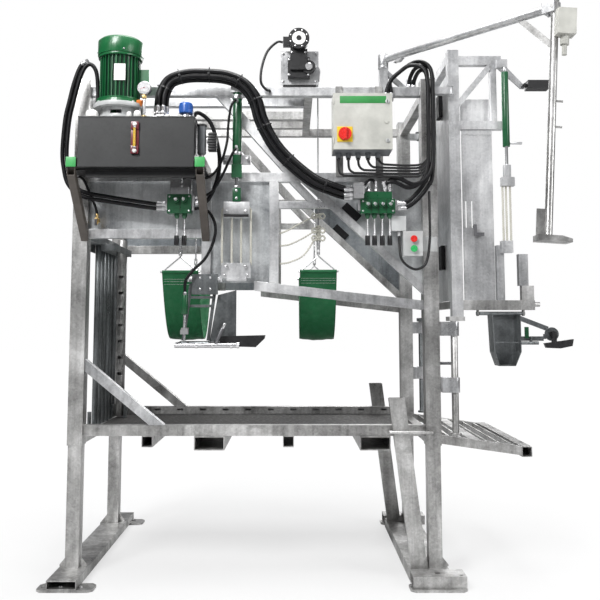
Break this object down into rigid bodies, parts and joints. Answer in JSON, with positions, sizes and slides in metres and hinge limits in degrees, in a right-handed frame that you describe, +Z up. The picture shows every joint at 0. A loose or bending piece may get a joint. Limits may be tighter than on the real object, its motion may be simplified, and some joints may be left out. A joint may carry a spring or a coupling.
{
  "type": "hoof trimming chute",
  "caption": "Hydraulic stall that holds a cow for hoof trimming: lifting frame with power pack, winch, hoists, hoof rests, belly bands, neck bar, swinging rear gates and boom.",
  "frame": {"origin": "on the floor, at the centre of the four anchor holes", "axes": "+X along the stall towards the animal's entry, +Y away from the working side, +Z up"},
  "size_m": [2.754, 1.9745, 2.9134],
  "materials": {
    "galvanised": "hot dip galvanised, mottled",
    "dark_steel": "weathered galvanised steel",
    "machined": "machined steel",
    "chrome_rod": "hard chromed",
    "charcoal_paint": "satin charcoal paint",
    "green_paint": "satin green paint",
    "cream_paint": "pale cream powder coat",
    "grey_paint": "grey enamel",
    "black_paint": "black satin paint",
    "black_rubber": "black rubber",
    "black_plastic": "black moulded plastic",
    "red_plastic": "red moulded plastic",
    "green_plastic": "green moulded plastic",
    "green_webbing": "green woven webbing",
    "pale_rope": "pale braided rope",
    "steel_rope": "stranded wire rope"
  },
  "bodies": {
    "undercarriage": {"skids": "galvanised", "lift_barrels": "grey_paint"},
    "stall": {"corner_posts": "galvanised", "side_rails": "galvanised", "roof_and_braces": "galvanised", "side_sheets": "galvanised", "rubber_pads": "black_rubber", "platform_frame": "galvanised", "floor_mat": "black_rubber", "entry_step": "galvanised", "head_gate_frame": "dark_steel", "lift_rods": "chrome_rod", "pack_bracket": "galvanised", "oil_tank": "charcoal_paint", "tank_fittings": "machined", "pump_unit": "grey_paint", "motor_body": "green_paint", "control_cabinet": "cream_paint", "valve_banks": "green_paint", "button_box": "grey_paint", "hydraulic_hoses": "black_rubber", "rest_hose": "black_rubber", "cables": "black_plastic", "winch_body": "black_paint", "winch_rope": "steel_rope", "belly_band_front": "green_webbing", "band_rings": "machined", "front_hoist_cylinder": "green_paint", "front_hoist_ropes": "pale_rope"},
    "neck_bar": {"neck_bar": "galvanised"},
    "rotor": {"motor_rotor": "machined"},
    "door": {"cabinet_door": "cream_paint"},
    "main_switch": {"main_switch": "red_plastic"},
    "front_lever_a": {"front_lever_a": "black_plastic"},
    "front_lever_b": {"front_lever_b": "black_plastic"},
    "rear_lever_a": {"rear_lever_a": "black_plastic"},
    "rear_lever_b": {"rear_lever_b": "black_plastic"},
    "rear_lever_c": {"rear_lever_c": "black_plastic"},
    "rear_lever_d": {"rear_lever_d": "black_plastic"},
    "start_button": {"start_button": "green_plastic"},
    "stop_button": {"stop_button": "red_plastic"},
    "drum": {"winch_drum": "machined"},
    "winch_hook": {"winch_hook": "machined"},
    "rear_band": {"belly_band_rear": "green_webbing"},
    "boom_arm": {"boom_arm": "galvanised", "boom_hanger": "galvanised"},
    "front_rod": {"front_hoist_rod": "machined"},
    "front_rest": {"front_hoof_rest": "dark_steel"},
    "front_paddle": {"front_paddle": "black_paint"},
    "near_gate": {"near_gate": "galvanised", "gate_buffers": "black_rubber", "rear_hoist_cylinder": "green_paint", "rear_hoist_ropes": "pale_rope"},
    "far_gate": {"far_gate": "dark_steel"},
    "rear_rod": {"rear_hoist_rod": "machined"},
    "rear_rest": {"rear_hoof_rest": "dark_steel"},
    "rear_paddle": {"rear_paddle": "black_paint"},
    "gate_latch": {"gate_latch": "machined"},
    "panel_latch": {"panel_latch": "machined"},
    "lamp": {"work_lamp": "black_plastic"}
  },
  "joints": [
    {"name": "stall_lift", "type": "slide", "parent": "undercarriage", "child": "stall", "axis": [0, 0, 1], "range_m": [-0.56, 0]},
    {"name": "neck_bar_swing", "type": "hinge", "parent": "stall", "child": "neck_bar", "pos_m": [-0.875, 0.24, 0.7788], "axis": [1, 0, 0], "range_deg": [0, 14]},
    {"name": "motor_spin", "type": "hinge", "parent": "stall", "child": "rotor", "pos_m": [-0.705, -0.68, 2.427], "axis": [0, 0, 1], "continuous": true},
    {"name": "door_swing", "type": "hinge", "parent": "stall", "child": "door", "pos_m": [0.4135, -0.719, 2.215], "axis": [0, 0, 1], "range_deg": [-110, 0]},
    {"name": "switch_turn", "type": "hinge", "parent": "door", "child": "main_switch", "pos_m": [0.472, -0.705, 2.293], "axis": [0, 1, 0], "range_deg": [0, 90]},
    {"name": "front_lever_a_tilt", "type": "hinge", "parent": "stall", "child": "front_lever_a", "pos_m": [-0.413, -0.57, 1.906], "axis": [1, 0, 0], "range_deg": [-9, 9], "stiffness_Nm_per_rad": 6},
    {"name": "front_lever_b_tilt", "type": "hinge", "parent": "stall", "child": "front_lever_b", "pos_m": [-0.373, -0.57, 1.906], "axis": [1, 0, 0], "range_deg": [-9, 9], "stiffness_Nm_per_rad": 6},
    {"name": "rear_lever_a_tilt", "type": "hinge", "parent": "stall", "child": "rear_lever_a", "pos_m": [0.599, -0.57, 1.906], "axis": [1, 0, 0], "range_deg": [-9, 9], "stiffness_Nm_per_rad": 6},
    {"name": "rear_lever_b_tilt", "type": "hinge", "parent": "stall", "child": "rear_lever_b", "pos_m": [0.636, -0.57, 1.906], "axis": [1, 0, 0], "range_deg": [-9, 9], "stiffness_Nm_per_rad": 6},
    {"name": "rear_lever_c_tilt", "type": "hinge", "parent": "stall", "child": "rear_lever_c", "pos_m": [0.677, -0.57, 1.906], "axis": [1, 0, 0], "range_deg": [-9, 9], "stiffness_Nm_per_rad": 6},
    {"name": "rear_lever_d_tilt", "type": "hinge", "parent": "stall", "child": "rear_lever_d", "pos_m": [0.717, -0.57, 1.906], "axis": [1, 0, 0], "range_deg": [-9, 9], "stiffness_Nm_per_rad": 6},
    {"name": "start_button_press", "type": "slide", "parent": "stall", "child": "start_button", "axis": [0, 1, 0], "range_m": [0, 0.005], "stiffness_N_per_m": 600},
    {"name": "stop_button_press", "type": "slide", "parent": "stall", "child": "stop_button", "axis": [0, 1, 0], "range_m": [0, 0.005], "stiffness_N_per_m": 600},
    {"name": "drum_turn", "type": "hinge", "parent": "stall", "child": "drum", "pos_m": [0.29, -0.39, 2.71], "axis": [0, 1, 0], "range_deg": [-58, 58]},
    {"name": "hook_travel", "type": "slide", "parent": "stall", "child": "winch_hook", "axis": [0, 0, 1], "range_m": [-0.053, 0.053], "deforming": ["winch_rope"]},
    {"name": "band_swing", "type": "hinge", "parent": "stall", "child": "rear_band", "pos_m": [0.345, 0.405, 1.706], "axis": [1, 0, 0], "range_deg": [-4.2, 4.2]},
    {"name": "boom_swing", "type": "hinge", "parent": "stall", "child": "boom_arm", "pos_m": [0.705, -0.465, 2.774], "axis": [0, 0, 1], "range_deg": [-90, 26]},
    {"name": "front_hoist_pull", "type": "slide", "parent": "stall", "child": "front_rod", "axis": [0, 0, 1], "range_m": [-0.14, 0], "deforming": ["front_hoist_ropes"]},
    {"name": "front_rest_swing", "type": "hinge", "parent": "stall", "child": "front_rest", "pos_m": [-0.265, -0.521, 1.556], "axis": [1, 0, 0], "range_deg": [-25, 0], "deforming": ["rest_hose"]},
    {"name": "front_paddle_tilt", "type": "hinge", "parent": "front_rest", "child": "front_paddle", "pos_m": [-0.17, -0.567, 1.214], "axis": [1, 0, 0], "range_deg": [-20, 20]},
    {"name": "near_gate_swing", "type": "hinge", "parent": "stall", "child": "near_gate", "pos_m": [1.056, -0.527, 1], "axis": [0, 0, 1], "range_deg": [-85, 0]},
    {"name": "far_gate_swing", "type": "hinge", "parent": "stall", "child": "far_gate", "pos_m": [1.056, 0.527, 1], "axis": [0, 0, 1], "range_deg": [0, 85]},
    {"name": "rear_hoist_pull", "type": "slide", "parent": "near_gate", "child": "rear_rod", "axis": [0, 0, 1], "range_m": [-0.12, 0], "deforming": ["rear_hoist_ropes"]},
    {"name": "rear_rest_swing", "type": "hinge", "parent": "near_gate", "child": "rear_rest", "pos_m": [1.306, -0.485, 1.372], "axis": [1, 0, 0], "range_deg": [-30, 0]},
    {"name": "rear_paddle_tilt", "type": "hinge", "parent": "rear_rest", "child": "rear_paddle", "pos_m": [1.587, -0.485, 1.262], "axis": [0, 1, 0], "range_deg": [-25, 25]},
    {"name": "gate_latch_turn", "type": "hinge", "parent": "stall", "child": "gate_latch", "pos_m": [0.985, -0.46, 1.106], "axis": [1, 0, 0], "range_deg": [0, 90]},
    {"name": "panel_latch_turn", "type": "hinge", "parent": "near_gate", "child": "panel_latch", "pos_m": [1.186, -0.485, 1.842], "axis": [0, 1, 0], "range_deg": [-80, 0]},
    {"name": "lamp_tilt", "type": "hinge", "parent": "near_gate", "child": "lamp", "pos_m": [1.474, -0.485, 2.624], "axis": [0, 1, 0], "range_deg": [-25, 35]}
  ],
  "couplings": [
    {"joint": "drum_turn", "follows": "hook_travel", "rad_per_m": -18.182},
    {"joint": "band_swing", "follows": "hook_travel", "rad_per_m": -1.3148}
  ]
}
